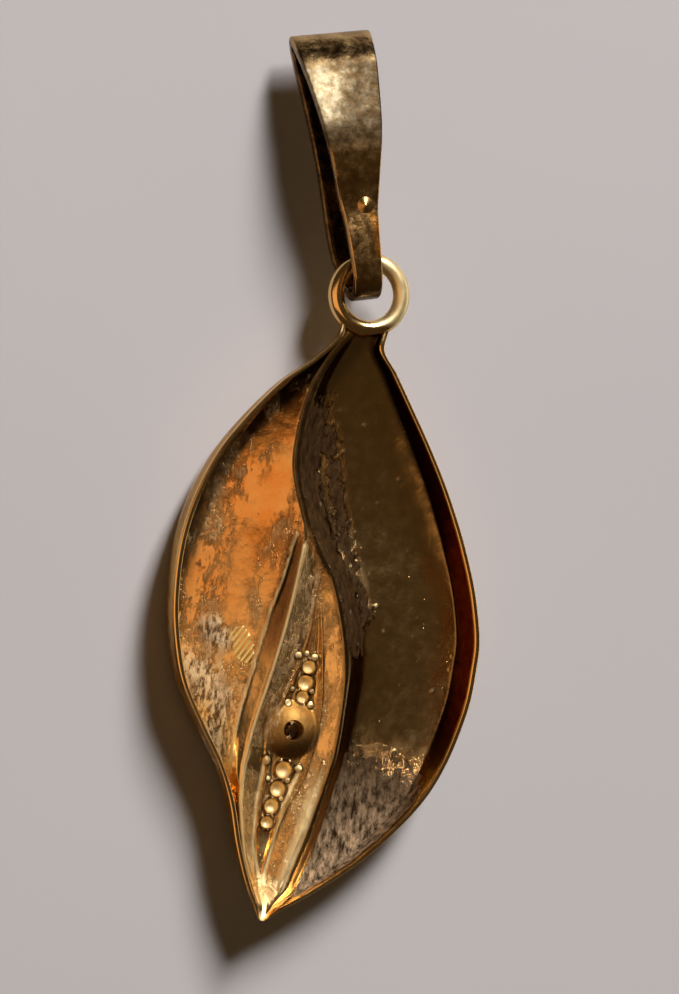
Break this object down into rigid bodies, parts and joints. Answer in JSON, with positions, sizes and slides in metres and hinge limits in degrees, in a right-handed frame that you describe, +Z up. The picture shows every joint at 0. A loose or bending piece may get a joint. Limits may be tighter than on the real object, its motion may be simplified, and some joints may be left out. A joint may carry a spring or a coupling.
{
  "type": "leaf pendant with a diamond",
  "caption": "Leaf-shaped gold pendant, hollow at the back, with a beaded panel that holds a diamond, and a folded bail that hangs it from a chain.",
  "frame": {"origin": "on the floor under the middle of the pendant's box, as it lies on the crowns of its front", "axes": "+Y from the leaf's tip to its ring and bail, +Z up out of the open back"},
  "size_m": [0.0116, 0.0322, 0.0031],
  "materials": {
    "leaf_gold": "cast yellow gold of 9 carat, polished at the rim and left as cast inside",
    "bail_gold": "polished yellow gold of 9 carat with fine wear",
    "diamond": "clear, cut as a round brilliant"
  },
  "bodies": {
    "root": {"leaf": "leaf_gold", "bail": "bail_gold", "diamond": "diamond"}
  },
  "joints": []
}
